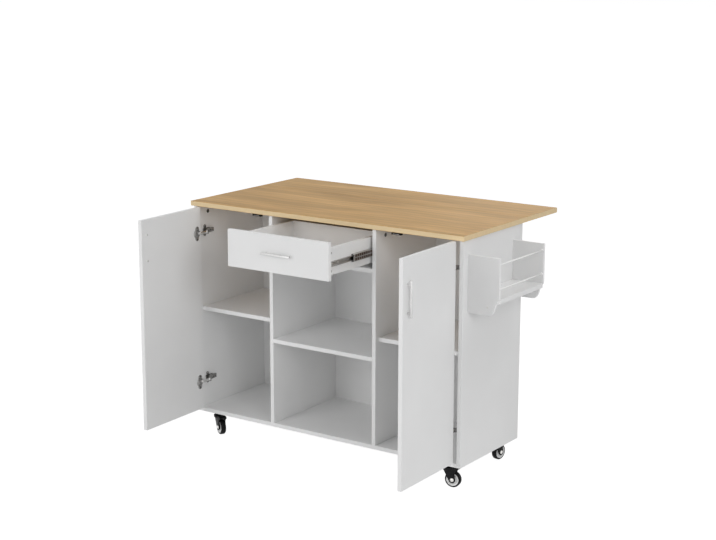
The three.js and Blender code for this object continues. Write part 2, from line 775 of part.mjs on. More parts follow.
// cap, neck and crown are turned round the stem; the cheeks reach over the wheel and taper to the axle
function casterFork() {
  const outer = forkWidth / 2;
  const inner = outer - forkSheet;
  const capTop = casterHeight - seat;
  const shoulder = crownBottom + 9;
  const head = turned([
    [0, crownBottom], [crownRadius - 2, crownBottom], [crownRadius, crownBottom + 3],
    [crownRadius, crownTop - 4], [crownRadius - 5, crownTop], [neckRadius, crownTop],
    [neckRadius, capTop - capThickness - 3], [capRadius - 2, capTop - capThickness], [capRadius, capTop - 2],
    [capRadius - 1, capTop], [stemRadius, capTop], [stemRadius, capTop + stemLength], [0, capTop + stemLength],
  ]);
  const cheek = new THREE.Shape();
  cheek.moveTo(-forkRear, shoulder);
  cheek.absarc(casterTrail, wheelRadius, bossRadius, 1.16 * Math.PI, 2.1 * Math.PI, false);
  cheek.lineTo(casterTrail + 8, wheelRadius + 21);
  cheek.quadraticCurveTo(casterTrail + 9, crownBottom - 2, forkReach, crownBottom);
  cheek.lineTo(forkReach, shoulder - 2);
  cheek.lineTo(forkReach - 2, shoulder);
  cheek.closePath();
  const cheeks = [pushY(cheek, -outer, -inner), pushY(cheek, inner, outer)];
  const bridge = box(-forkRear + 1, forkReach - 1, -outer + 0.5, outer - 0.5, crownBottom + 2, crownBottom + 6);
  const axle = rodY(-outer - 1, outer + 1, casterTrail, wheelRadius, axleRadius);
  return shape3d([head, bridge, ...cheeks, axle]);
}

// tyre and dished hub, turned about the axle
function casterWheel() {
  const half = wheelWidth / 2;
  const boreRadius = axleRadius + axlePlay;
  const dish = half - 3.5;
  const outline = [
    [boreRadius, -half], [8, -half], [9, -dish], [hubRadius - 1.5, -dish], [hubRadius, -half + 0.5],
    [wheelRadius - 2, -half + 0.8], [wheelRadius, -dish], [wheelRadius, dish],
    [wheelRadius - 2, half - 0.8], [hubRadius, half - 0.5], [hubRadius - 1.5, dish], [9, dish], [8, half],
    [boreRadius, half], [boreRadius, -half],
  ];
  const geometry = new THREE.LatheGeometry(outline.map(([r, h]) => new THREE.Vector2(r, h)), round);
  return geometry.translate(casterTrail, 0, wheelRadius);
}

function casterPivot(corner) {
  const [across, back] = casterCorners[corner];
  const y = back ? cabinetDepth - casterSetback : casterSetback;
  return [across * (halfWidth - casterInset), y];
}

function casters() {
  return Object.keys(casterCorners).map((corner) => {
    const [x, y] = casterPivot(corner);
    const group = new THREE.Group();
    group.position.set(x, y, 0);
    group.rotation.z = THREE.MathUtils.degToRad(casterTurns[corner]);
    group.add(piece(`caster_fork_${corner}`, casterFork(), finish.black));
    group.add(piece(`caster_wheel_${corner}`, casterWheel(), finish.wheel));
    return group;
  });
}

// ---------------------------------------------------------------- the island

const island = new THREE.Group();
island.add(piece('worktop', topBoard(-frontOverhang, fixedTopBack), finish.oak));
island.add(...cabinetBoards());
island.add(...hingeArms());
island.add(...sides.map((side) => slide('outer', side)));
island.add(slideMiddles(), drawer());
island.add(...sides.map(door), ...sides.map(hingeLinks));
island.add(...rack());
island.add(leafSupport(), leafGroup());
island.add(...casters());

island.updateMatrixWorld(true);
const extent = new THREE.Box3().setFromObject(island);
const middle = extent.getCenter(new THREE.Vector3());
island.position.set(-middle.x, -middle.y, -extent.min.z);

export default island;
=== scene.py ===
# %% [markdown]
# # Dressing a drop leaf kitchen island
#
# The solids of the island are already built. This lesson loads them, gives every
# board and fitting a material, and adds the small pieces that make such furniture look real: screws,
# lock discs, magnet catches, slide cages, wheel hubs and rivets. The island could be modelled again from
# nothing, but then the picture and the solids would drift apart. Here the solids stay as they
# are, and whatever is new is placed by measuring them.

# %% Load the solids
import math

import bmesh
import bpy
from mathutils import Matrix, Vector


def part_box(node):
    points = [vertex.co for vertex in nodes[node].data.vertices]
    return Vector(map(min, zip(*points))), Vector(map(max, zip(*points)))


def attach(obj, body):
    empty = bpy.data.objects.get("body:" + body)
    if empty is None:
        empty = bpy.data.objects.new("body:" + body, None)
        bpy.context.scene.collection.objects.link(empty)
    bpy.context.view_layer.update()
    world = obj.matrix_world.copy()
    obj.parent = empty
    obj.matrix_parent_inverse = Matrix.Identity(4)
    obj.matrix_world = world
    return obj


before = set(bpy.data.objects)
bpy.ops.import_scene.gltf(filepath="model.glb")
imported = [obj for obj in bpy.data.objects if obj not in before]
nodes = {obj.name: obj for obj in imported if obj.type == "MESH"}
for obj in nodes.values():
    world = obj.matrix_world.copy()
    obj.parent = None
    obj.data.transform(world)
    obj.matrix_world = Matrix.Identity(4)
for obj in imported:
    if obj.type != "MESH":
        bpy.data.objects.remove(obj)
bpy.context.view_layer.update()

# %% [markdown]
# ## Millimetres and metres
#
# The island was designed in millimetres: x = 0 in the middle of the cabinet, y = 0 at its front, z = 0
# on the floor. Blender holds it in metres, with the origin in the middle of its footprint. Each place
# could be converted by hand, but that invites slips. One small function turns a designer's point into
# the model's metres, and two read a solid's box and its middle back in millimetres. The worktop and a
# side panel tell where the designer's origin lies, so no offset has to be typed.

# %% The designer's frame
MM = 0.001
SIDES = {"left": -1, "right": 1}  # the way outwards along x

top_low, top_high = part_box("worktop")
panel_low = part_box("side_panel_left")[0]
ORIGIN = Vector(((top_low.x + top_high.x) / 2, panel_low.y, 0.0))


def at(x, y, z):
    """A point of the designer's frame, in metres in the model's frame."""
    return ORIGIN + Vector((x, y, z)) * MM


def box_mm(node):
    """The lowest and highest corner of a solid, in the designer's millimetres."""
    return [
        tuple(round((value - start) / MM, 2) for value, start in zip(corner, ORIGIN))
        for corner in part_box(node)
    ]


def middle_mm(node):
    """The middle of a solid's box, in the designer's millimetres."""
    return tuple((low + high) / 2 for low, high in zip(*box_mm(node)))


print("designer's origin in the model:", [round(c, 4) for c in ORIGIN])

# %% [markdown]
# ## Starting a material
#
# A material on real furniture is never one even colour, so each one here is a small graph of nodes. The
# graph could be built by hand in the shader editor, but a script repeats it exactly. Three helpers keep
# it short: one starts a material with its shader, one makes a node and fills its inputs, and one links
# an output to the shader.


# %% Graph helpers
def cleared_tree(owner):
    """The empty node tree of a material or a world."""
    owner.use_nodes = True
    owner.node_tree.nodes.clear()
    return owner.node_tree


def new_material(name):
    """A material with nothing but a shader and its output."""
    material = bpy.data.materials.new(name)
    tree = cleared_tree(material)
    shader = tree.nodes.new("ShaderNodeBsdfPrincipled")
    add(tree, "ShaderNodeOutputMaterial", {"Surface": shader.outputs["BSDF"]})
    return material, tree, shader


def add(tree, kind, inputs=None, **settings):
    """Makes a node. An input given as a socket is linked, and anything else is its value."""
    node = tree.nodes.new(kind)
    for key, value in settings.items():
        setattr(node, key, value)
    for key, value in (inputs or {}).items():
        if isinstance(value, bpy.types.NodeSocket):
            tree.links.new(value, node.inputs[key])
        else:
            node.inputs[key].default_value = value
    return node


def link(tree, output, shader, name):
    tree.links.new(output, shader.inputs[name])


print("graph helpers ready")

# %% [markdown]
# ## Patterns
#
# Grain, drawing lines and the pebble of a press plate are all noise, seen through different scales. An
# image of each could be used, but it shows its seams and its pixels close up. Noise has neither. It
# reads the piece's own coordinates, so the pattern stays in place when a door swings or a drawer slides.
# A ramp turns noise into colour or roughness, a mix lays one pattern over another, and a bump makes the
# light see relief.


# %% Pattern helpers
EVEN = (1, 1, 1)


def noise(tree, stretch, scale=1.0, detail=3.0, roughness=0.5, distortion=0.0):
    """Noise on the object's coordinates. A small number in stretch draws it out along that axis."""
    coordinates = add(tree, "ShaderNodeTexCoord").outputs["Object"]
    mapping = add(tree, "ShaderNodeMapping", {"Vector": coordinates, "Scale": stretch})
    inputs = {
        "Vector": mapping.outputs["Vector"],
        "Scale": scale,
        "Detail": detail,
        "Roughness": roughness,
        "Distortion": distortion,
    }
    return add(tree, "ShaderNodeTexNoise", inputs).outputs["Fac"]


def ramp(tree, pattern, stops):
    """Turns a pattern into greys or colours. stops are (position, grey or colour)."""
    node = add(tree, "ShaderNodeValToRGB", {"Fac": pattern})
    elements = node.color_ramp.elements
    while len(elements) < len(stops):
        elements.new(0.5)
    for element, (position, colour) in zip(elements, stops):
        element.position = position
        grey = isinstance(colour, (int, float))
        element.color = (colour, colour, colour, 1) if grey else (*colour, 1)
    return node.outputs["Color"]


def mix(tree, amount, under, over, blend="MIX"):
    """Lays one colour over another. The amount and both colours may be values or sockets."""
    node = add(tree, "ShaderNodeMix", data_type="RGBA", blend_type=blend)
    colours = [socket for socket in node.inputs if socket.type == "RGBA"]
    for socket, value in ((node.inputs[0], amount), (colours[0], under), (colours[1], over)):
        if isinstance(value, bpy.types.NodeSocket):
            tree.links.new(value, socket)
        else:
            socket.default_value = value if socket == node.inputs[0] else (*value, 1)
    return [socket for socket in node.outputs if socket.type == "RGBA"][0]


def darken(tree, amount, colour, pattern, stops):
    """Multiplies a colour by a pattern's greys, as far as the amount says."""
    return mix(tree, amount, colour, ramp(tree, pattern, stops), "MULTIPLY")


def bump(tree, shader, height, strength, distance):
    """Relief from a pattern, with its depth in metres."""
    relief = {"Height": height, "Strength": strength, "Distance": distance}
    link(tree, add(tree, "ShaderNodeBump", relief).outputs["Normal"], shader, "Normal")


def faces_along(tree, axis):
    """1 on the faces that look along an axis of the object, 0 on those that look across it."""
    normal = add(tree, "ShaderNodeTexCoord").outputs["Normal"]
    part = add(tree, "ShaderNodeSeparateXYZ", {"Vector": normal}).outputs[axis]
    return add(tree, "ShaderNodeMath", {0: part}, operation="ABSOLUTE").outputs[0]


print("pattern helpers ready")

# %% [markdown]
# ## Oak worktop
#
# The worktop is chipboard under a printed oak foil, so its grain runs along the whole length without a
# break. Planks could be modelled one by one, but this top has no joints to show. Five layers of pattern
# make it instead: broad pale and dark bands, the flame figure of flat-sawn oak, fine fibres, short dark
# pores, and slow clouds. The narrow faces all round carry an edge band of a paler colour than the top.
# They are found by the way they look: whatever doesn't look up or down is edge.

# %% Oak foil
OAK_DARK = (0.525, 0.303, 0.100)
OAK_MIDDLE = (0.66, 0.393, 0.137)
OAK_PALE = (0.78, 0.478, 0.175)
OAK_EDGE = (0.88, 0.685, 0.415)
FLAME = {
    "Scale": 3.0,
    "Distortion": 9.0,
    "Detail": 3.0,
    "Detail Scale": 0.8,
    "Detail Roughness": 0.55,
}


def flame_figure(tree):
    """The long pointed arches of flat-sawn oak: waves across the board, pushed about by noise."""
    coordinates = add(tree, "ShaderNodeTexCoord").outputs["Object"]
    mapping = add(tree, "ShaderNodeMapping", {"Vector": coordinates, "Scale": (0.7, 3.0, 1.0)})
    inputs = {"Vector": mapping.outputs["Vector"], **FLAME}
    wave = add(tree, "ShaderNodeTexWave", inputs, wave_type="BANDS", bands_direction="Y")
    return wave.outputs["Fac"]


def oak_material():
    material, tree, shader = new_material("oak_foil")
    bands = noise(tree, (0.8, 4.6, 2.0), scale=2.2, roughness=0.55, distortion=0.5)
    clouds = noise(tree, (0.9, 3.0, 3.0), scale=2.0, detail=2.0)
    pores = noise(tree, (9.0, 420.0, 60.0), detail=5.0, roughness=0.65)
    fibres = noise(tree, (5.0, 95.0, 40.0), detail=6.0, roughness=0.6, distortion=0.6)

    foil = ramp(tree, bands, [(0.30, OAK_DARK), (0.50, OAK_MIDDLE), (0.70, OAK_PALE)])
    foil = darken(tree, 0.55, foil, flame_figure(tree), [(0.0, 0.80), (0.45, 1.0), (1.0, 1.0)])
    foil = darken(tree, 0.55, foil, fibres, [(0.32, 0.84), (0.6, 1.04)])
    foil = darken(tree, 0.7, foil, pores, [(0.30, 0.72), (0.42, 1.0)])
    foil = darken(tree, 0.35, foil, clouds, [(0.3, 0.90), (0.7, 1.05)])

    band = darken(tree, 0.5, OAK_EDGE, fibres, [(0.3, 0.84), (0.65, 1.0)])
    on_edge = ramp(tree, faces_along(tree, "Z"), [(0.4, 1.0), (0.5, 0.0)])
    link(tree, mix(tree, on_edge, foil, band), shader, "Base Color")
    link(tree, ramp(tree, pores, [(0.3, 0.54), (0.6, 0.42)]), shader, "Roughness")
    shader.inputs["Specular IOR Level"].default_value = 0.10
    bump(tree, shader, pores, 0.10, 0.0004)
    return material


OAK = oak_material()
print("made", OAK.name)

# %% [markdown]
# ## White boards
#
# The boards are chipboard pressed with white melamine, and the rods of the rack are lacquered steel. A
# plain white would do from far away, but it looks dead close up. Real melamine has a very fine pebble
# from the press plate, and its tone and sheen change slowly over a panel. So a slow cloud moves the
# colour and the roughness, and a fine noise makes the pebble. The drawer's front and the rack's brackets
# are seen with their edges in full light. Their edges carry a painted highlight, a paler white than their
# broad faces, which look along Y, so those two materials tell faces and edges apart. Their faces are
# darker than the board white, as painted shade: the rack's brackets much more than the drawer's front.


# %% White boards
def tone(colour, factor):
    """The same colour, lighter or darker, and never above 1."""
    return tuple(min(1.0, part * factor) for part in colour)


def vary(tree, shader, pattern, roughness, more, less):
    """Lets the roughness wander with a pattern, from a little more to a little less."""
    stops = [(0.3, roughness + more), (0.7, roughness - less)]
    link(tree, ramp(tree, pattern, stops), shader, "Roughness")


def laminate_material(name, colour, roughness=0.42, edge=None):
    """A board. If an edge colour is given, every face that doesn't look along Y carries it."""
    material, tree, shader = new_material(name)
    cloud = noise(tree, EVEN, scale=3.0)
    pebble = noise(tree, EVEN, scale=900.0, detail=2.0)
    face = ramp(tree, cloud, [(0.35, tone(colour, 0.975)), (0.65, tone(colour, 1.015))])
    # An edge colour paints a highlight on the lit edges of a board.
    if edge:
        on_face = ramp(tree, faces_along(tree, "Y"), [(0.4, 0.0), (0.6, 1.0)])
        face = mix(tree, on_face, edge, face)
    link(tree, face, shader, "Base Color")
    vary(tree, shader, cloud, roughness, more=0.06, less=0.05)
    shader.inputs["Specular IOR Level"].default_value = 0.4
    bump(tree, shader, pebble, 0.06, 0.0002)
    return material


BOARD = laminate_material("white_laminate", (0.90, 0.90, 0.897))
# Painted light: the drawer front's edges are a painted highlight, and its face is a little darker as
# painted shade.
FRONT_PAINTED_LIGHT = laminate_material("white_front_painted_light", (0.87, 0.87, 0.867), edge=(0.97, 0.97, 0.97))
# Painted light: the rack brackets' faces are darker as painted shade, and their edges are a painted
# highlight.
RACK_PAINTED_LIGHT = laminate_material("white_rack_painted_shade_and_highlight", (0.78, 0.78, 0.778), edge=(0.98, 0.98, 0.98))
ROD = laminate_material("white_lacquer", (0.98, 0.98, 0.975), roughness=0.25)
print("made", BOARD.name, FRONT_PAINTED_LIGHT.name, RACK_PAINTED_LIGHT.name, ROD.name)

# %% [markdown]
# ## Plated steel
#
# Hinges, slides, brackets, handles and screws are plated steel. A perfectly smooth metal mirrors the
# studio and gives itself away. Real plating shows fine lines from drawing or rolling, and cloudy
# reflections. One function makes every metal: the stretch says which way its lines run, and colour and
# roughness wander with the lines and a cloud together. The satin handles, the hinge cups and the ball
# cages are only partly metal, because their surfaces are dull and look almost like paint. Some copies
# carry painted light: the hinge links are pale as a painted highlight, the hinge screws are dark as
# painted shade, and the dark of the cages is partly painted shade seen in their windows.

# %% Plated steel
LINES_ALONG_Y = (700, 12, 700)
LINES_ALONG_Z = (700, 700, 20)
LINES_ON_BRACKET = (500, 20, 40)
LINES_ACROSS = (60, 500, 60)
SPECKLED = (300, 300, 300)
LINES_ON_CAGE = (300, 40, 300)


def metal_material(name, colour, roughness, lines, relief=0.12, metallic=1.0):
    material, tree, shader = new_material(name)
    drawn = noise(tree, lines, detail=5.0, roughness=0.6)
    cloud = noise(tree, EVEN, scale=35.0)
    both = mix(tree, 0.5, drawn, cloud)
    tones = [(0.35, tone(colour, 0.86)), (0.65, tone(colour, 1.10))]
    link(tree, ramp(tree, both, tones), shader, "Base Color")
    vary(tree, shader, both, roughness, more=0.09, less=0.06)
    shader.inputs["Metallic"].default_value = metallic
    bump(tree, shader, drawn, relief, 0.0001)
    return material


NICKEL = metal_material("nickel_plate", (0.34, 0.335, 0.325), 0.28, LINES_ACROSS)
# Painted highlight: the hinge links are a pale copy of the hinges' plating.
HINGE_LINK_HIGHLIGHT = metal_material("hinge_link_painted_highlight", (0.88, 0.875, 0.86), 0.22, LINES_ACROSS)
SCREW = metal_material("screw_zinc", (0.70, 0.69, 0.67), 0.3, SPECKLED)
# Painted shade: the hinge screws are dark to stand for the shade round them on the hinges.
HINGE_SCREW_SHADE = metal_material("screw_nickel_painted_shade", (0.20, 0.197, 0.19), 0.3, SPECKLED)
CUP = metal_material("cup_nickel", (0.56, 0.557, 0.55), 0.36, LINES_ACROSS, metallic=0.8)
SLIDE = metal_material("slide_zinc", (0.50, 0.49, 0.48), 0.34, LINES_ALONG_Y)
BRACKET = metal_material("bracket_zinc", (0.56, 0.56, 0.55), 0.36, LINES_ON_BRACKET)
HANDLE = metal_material("handle_satin", (0.76, 0.757, 0.75), 0.45, LINES_ALONG_Z, 0.10, 0.25)
LOCK = metal_material("lock_dark", (0.12, 0.115, 0.11), 0.42, SPECKLED)
DRAWER_LOCK = metal_material("lock_grey", (0.42, 0.41, 0.40), 0.42, SPECKLED)
# Partly painted shade: the dark of the cages' windows.
CAGE_AND_SHADE = metal_material("cage_bronze_and_painted_shade", (0.085, 0.055, 0.042), 0.4, LINES_ON_CAGE, metallic=0.5)
print("made", len(bpy.data.materials), "materials so far")

# %% [markdown]
# ## Moulded plastic
#
# The caster forks and the slide clips are moulded in black plastic, the treads are a softer black, and
# the hubs are pale. Plastic takes the grain of its mould, which breaks up its reflections. A grain in
# the mesh would cost millions of faces, so a fine noise makes it as bump, and the same noise moves the
# roughness. Black plastic has its sheen turned down, or it would look grey beside the photograph's.


# %% Moulded plastic
def moulded_material(name, colour, roughness, grain=700.0, sheen=0.5):
    material, tree, shader = new_material(name)
    cloud = noise(tree, EVEN, scale=40.0)
    texture = noise(tree, EVEN, scale=grain, detail=2.0)
    tones = [(0.35, tone(colour, 0.8)), (0.65, tone(colour, 1.25))]
    link(tree, ramp(tree, cloud, tones), shader, "Base Color")
    vary(tree, shader, texture, roughness, more=0.08, less=0.06)
    shader.inputs["Specular IOR Level"].default_value = sheen
    bump(tree, shader, texture, 0.15, 0.0001)
    return material


JET = (0.006, 0.006, 0.0065)
BLACK = moulded_material("black_moulding", JET, 0.42, sheen=0.14)
TYRE = moulded_material("tread_black", JET, 0.6, grain=1400.0, sheen=0.12)
HUB = moulded_material("hub_pale", (0.93, 0.93, 0.92), 0.34)
print("made", len(bpy.data.materials), "materials in all")

# %% [markdown]
# ## Which finish goes where
#
# Every solid needs one material and a width for its rounded edges. Sixty lines could say so one by one.
# Names that start alike are made alike, so a table of starts is enough, and a new shelf would find its
# finish by itself.

# %% Finishes by name
FINISH = [  # material, edge width in millimetres, names or starts of names
    (OAK, 0.5, ["worktop", "leaf"]),
    (BOARD, 0.5, ["side_panel_", "divider_", "bottom_panel", "back_panel", "side_shelf_"]),
    (BOARD, 0.5, ["middle_shelf", "drawer_shelf", "door_", "drawer_side_"]),
    (BOARD, 0.5, ["drawer_back", "drawer_bottom", "rack_shelf"]),
    (FRONT_PAINTED_LIGHT, 0.5, ["drawer_front"]),
    (RACK_PAINTED_LIGHT, 0.5, ["rack_bracket_"]),
    (NICKEL, 0.25, ["hinge_"]),
    (CUP, 0.25, ["hinge_cup_"]),
    # painted highlight on the hinge links
    (HINGE_LINK_HIGHLIGHT, 0.25, ["hinge_link_"]),
    (HANDLE, 0.6, ["handle_", "drawer_handle"]),
    (SLIDE, 0.2, ["slide_"]),
    (BRACKET, 0.3, ["leaf_"]),
    (ROD, 0.3, ["rack_rail_", "towel_bar"]),
    (BLACK, 0.4, ["caster_fork_"]),
    (TYRE, 0.4, ["caster_wheel_"]),
]


def finish_of(name):
    """The longest matching start wins, so that leaf_arm is steel and leaf is oak."""
    matches = [
        (len(start), material, width)
        for material, width, starts in FINISH
        for start in starts
        if name == start or (start.endswith("_") and name.startswith(start))
    ]
    return max(matches, key=lambda match: match[0])[1:]


print("finishes for", sum(len(starts) for _, _, starts in FINISH), "kinds of solid")

# %% [markdown]
# ## Dress the solids
#
# A knife-sharp edge catches no light, and no edge band or press tool leaves one. The edges could be
# rounded in the solids, but that would change what was checked. A weld and a bevel, both modifiers,
# round them only when they are drawn. Boards are shaded flat, because their faces are planes, and turned
# or bent pieces smoothly.

# %% Dress the solids
WELD_GAP = 0.00001
EDGE_SEGMENTS = 2
EDGE_ANGLE = 35
FLAT = (BOARD, FRONT_PAINTED_LIGHT, RACK_PAINTED_LIGHT, OAK)


def soften(obj, width, smooth):
    """Merges the split corners and rounds the hard edges when the object is drawn."""
    obj.modifiers.new("weld", "WELD").merge_threshold = WELD_GAP
    bevel = obj.modifiers.new("bevel", "BEVEL")
    bevel.width = width * MM
    bevel.segments = EDGE_SEGMENTS
    bevel.limit_method = "ANGLE"
    bevel.angle_limit = math.radians(EDGE_ANGLE)
    bevel.use_clamp_overlap = True
    bevel.harden_normals = smooth
    obj.data.polygons.foreach_set("use_smooth", [smooth] * len(obj.data.polygons))
    obj.data.update()


for name, obj in nodes.items():
    material, width = finish_of(name)
    obj.data.materials.clear()
    obj.data.materials.append(material)
    soften(obj, width, smooth=material not in FLAT)
print("dressed", len(nodes), "solids")

# %% [markdown]
# ## Placing and joining pieces
#
# A screw's head is drawn once, standing on z = 0, and used in many places. Each copy could be an object
# of its own with a place and a turn, but that leaves a hundred loose objects to keep in order. Here every
# copy is moved inside its mesh by a matrix, and the copies that belong together become one object. It
# sits at the origin, unturned and unscaled, and rides on the body that carries it, so the screws of a
# door swing with the door.

# %% Place and join
SHARP = 38


def place(x, y, z, turn=None):
    """A matrix that moves a piece drawn in millimetres to a point, turned by a 3x3 matrix if given."""
    spin = turn.to_4x4() if turn else Matrix.Identity(4)
    return Matrix.Translation(at(x, y, z)) @ spin @ Matrix.Scale(MM, 4)


def facing(direction):
    """The turn that points a piece's own Z along a direction."""
    return Vector(direction).to_track_quat("Z", "Y").to_matrix()


def gather(name, parts, material, body):
    """Joins (bmesh, matrix) pairs into one object that rides on a body."""
    joined = bmesh.new()
    for bm, matrix in parts:
        copy = bpy.data.meshes.new("part")
        bm.to_mesh(copy)
        copy.transform(matrix)
        joined.from_mesh(copy)
        bpy.data.meshes.remove(copy)
    for face in joined.faces:
        face.smooth = True
    mesh = bpy.data.meshes.new(name)
    joined.to_mesh(mesh)
    joined.free()
    mesh.set_sharp_from_angle(angle=math.radians(SHARP))
    mesh.materials.append(material)
    obj = bpy.data.objects.new(name, mesh)
    bpy.context.scene.collection.objects.link(obj)
    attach(obj, body)


print("placing helpers ready")

# %% [markdown]
# ## Screws
#
# A pan head screw is a turned piece with a cross pressed into its top. The head could start from a
# cylinder, but half its outline spun round Z gives the slope and the crown at once. The top is then
# filled between the rim and the outline of the cross, and the cross is pushed down by an extrusion. The
# same head, made wide and low, serves for lock discs and caps.

# %% Screws
HEAD_PROFILE = [(0, 0), (1, 0), (1, 0.35), (0.86, 0.8), (0.62, 1)]  # of the radius and the height
HEAD_SEGMENTS = 20
CROSS_ARM, CROSS_HALF = 0.46, 0.12  # of the radius
CROSS_DEPTH = 0.75  # of the height
MERGE_GAP = 0.0005
LEVEL_GAP = 0.01


def spun(profile, segments):
    """A turned piece: (radius, height) points spun a full turn round Z."""
    bm = bmesh.new()
    verts = [bm.verts.new((radius, 0, height)) for radius, height in profile]
    edges = [bm.edges.new(pair) for pair in zip(verts, verts[1:])]
    bmesh.ops.spin(
        bm,
        geom=verts + edges,
        cent=(0, 0, 0),
        axis=(0, 0, 1),
        angle=math.tau,
        steps=segments,
        use_merge=True,
        use_duplicate=False,
    )
    bmesh.ops.remove_doubles(bm, verts=bm.verts, dist=MERGE_GAP)
    bmesh.ops.recalc_face_normals(bm, faces=bm.faces)
    return bm


def cross_outline(radius):
    """The cross of a head of this radius: four arms round a small square."""
    arm, half = radius * CROSS_ARM, radius * CROSS_HALF
    quarter = [(arm, half), (half, half), (half, arm)]
    points = []
    for _ in range(4):
        points += quarter
        quarter = [(-y, x) for x, y in quarter]
    return points


def cross_screw(radius, height):
    """A pan head with a cross recess, standing on z = 0."""
    bm = spun([(radius * wide, height * tall) for wide, tall in HEAD_PROFILE], HEAD_SEGMENTS)
    rim = [
        edge
        for edge in bm.edges
        if edge.is_boundary and all(abs(v.co.z - height) < LEVEL_GAP for v in edge.verts)
    ]
    mouth = [bm.verts.new((x, y, height)) for x, y in cross_outline(radius)]
    loop = [bm.edges.new(pair) for pair in zip(mouth, mouth[1:] + mouth[:1])]
    bmesh.ops.triangle_fill(bm, use_beauty=True, edges=rim + loop)
    pushed = bmesh.ops.extrude_edge_only(bm, edges=loop)["geom"]
    deep = [v for v in pushed if isinstance(v, bmesh.types.BMVert)]
    bmesh.ops.translate(bm, vec=(0, 0, -height * CROSS_DEPTH), verts=deep)
    bottom = [e for e in bm.edges if e.is_boundary and all(v in deep for v in e.verts)]
    bmesh.ops.edgeloop_fill(bm, edges=bottom)
    bmesh.ops.recalc_face_normals(bm, faces=bm.faces)
    return bm


print("a screw head of 4 by 2 mm has", len(cross_screw(4, 2).faces), "faces")

# %% [markdown]
# ## Cup hinges
#
# A cup hinge is fixed by four screws: two through its wing plate into the side panel, two through its
# flange into the door. Its arm also carries an adjusting screw and a locking screw. The screws could be
# modelled on closed doors and swung with them, but the doors stand open in the solids. So two helpers
# find a point of an open door and the way its inner face looks, from the hinge's axis and the angle.

# %% Points on an open door
DOOR_OPEN = {"left": 88.5, "right": 91.0}  # degrees from closed
DOOR_AXIS = (571.7, -8.2)  # outwards and back from the designer's origin
DOOR_BACK = 23.2  # from the axis to the inner face of the door


def door_spot(side, along, deep, level):
    """A point of an open door: along it from its hinge axis, and deep from the axis to its inside."""
    turn = math.radians(DOOR_OPEN[side])
    x = along * math.cos(turn) + deep * math.sin(turn)
    y = -along * math.sin(turn) + deep * math.cos(turn)
    return SIDES[side] * (DOOR_AXIS[0] - x), DOOR_AXIS[1] + y, level


def door_normal(side):
    """The direction that the inner face of an open door looks in."""
    turn = math.radians(DOOR_OPEN[side])
    return -SIDES[side] * math.sin(turn), math.cos(turn), 0.0


print("the left door's inside looks along", [round(c, 3) for c in door_normal("left")])

# %% Hinge screws
PANEL_FACE = box_mm("side_panel_right")[0][0]
HINGE_LEVELS = [middle_mm(f"hinge_arm_left_{end}")[2] for end in ("upper", "lower")]
PLATE_SCREW = (3.9, 1.4)  # radius and height of the head, as for every screw here
PLATE_SCREW_BACK = 38
PLATE_SCREW_PITCH = 29
PLATE_HEIGHT = 4.0
ARM_SCREW = (3.1, 0.9)
ARM_SCREWS_BACK = (68, 56)
ARM_HEIGHT = 15.2
CUP_SCREW = (4.8, 1.6)
CUP_SCREW_ALONG = 25.2
CUP_SCREW_PITCH = 44
FLANGE_HEIGHT = 2.4

for side, out in SIDES.items():
    inwards = facing((-out, 0, 0))
    plate_screws, cup_screws = [], []
    for level in HINGE_LEVELS:
        for half in (-PLATE_SCREW_PITCH / 2, PLATE_SCREW_PITCH / 2):
            spot = (out * (PANEL_FACE - PLATE_HEIGHT), PLATE_SCREW_BACK, level + half)
            plate_screws.append((cross_screw(*PLATE_SCREW), place(*spot, inwards)))
        for back in ARM_SCREWS_BACK:
            spot = (out * (PANEL_FACE - ARM_HEIGHT), back, level)
            plate_screws.append((cross_screw(*ARM_SCREW), place(*spot, inwards)))
        for half in (-CUP_SCREW_PITCH / 2, CUP_SCREW_PITCH / 2):
            spot = door_spot(side, CUP_SCREW_ALONG, DOOR_BACK + FLANGE_HEIGHT, level + half)
            cup_screws.append((cross_screw(*CUP_SCREW), place(*spot, facing(door_normal(side)))))
    # The dark screw material is painted shade.
    gather(f"hinge_screws_{side}", plate_screws, HINGE_SCREW_SHADE, "cabinet")
    gather(f"cup_screws_{side}", cup_screws, HINGE_SCREW_SHADE, f"{side}_door")
print("hinge screws at levels", HINGE_LEVELS)

# %% [markdown]
# ## Lock discs
#
# The worktop is pulled down onto the boards by cam locks: dark discs let into the boards near their upper
# edges, with a cross to turn them by. A disc could be sunk into a bored hole, but the boards have no
# bores there. A wide head that stands half a millimetre proud looks the same and leaves the solids alone.

# %% Lock discs
DIVIDER_FACE = box_mm("divider_right")[1][0]
BACK_FACE = box_mm("back_panel")[0][1]
PANEL_TOP = box_mm("side_panel_right")[1][2]
LOCK_INSET = 60
LOCK_DROP = 29
LOCK_DISC = (7.5, 0.5)

lock_faces = [(-PANEL_FACE, 1), (-DIVIDER_FACE, -1), (DIVIDER_FACE, 1), (PANEL_FACE, -1)]
discs = []
for x, look in lock_faces:
    for y in (LOCK_INSET, BACK_FACE - LOCK_INSET):
        spot = place(x, y, PANEL_TOP - LOCK_DROP, facing((look, 0, 0)))
        discs.append((cross_screw(*LOCK_DISC), spot))
gather("cam_locks", discs, LOCK, "cabinet")
print("lock discs:", len(discs))

# %% [markdown]
# ## Magnet catches
#
# A magnet catch hangs under the worktop just behind each closed door, near the door's free edge. Two
# steel poles hold the magnet in a dark body. Both are blocks with rounded edges. A cube with a bevel
# would do for one block, but many pieces here are a flat outline with some thickness. So one helper
# pushes an outline along Z and rounds its edges, and another draws a rectangle with round corners.


# %% Outlines with thickness
SHARP_EDGE = 40
CORNER_STEPS = 4


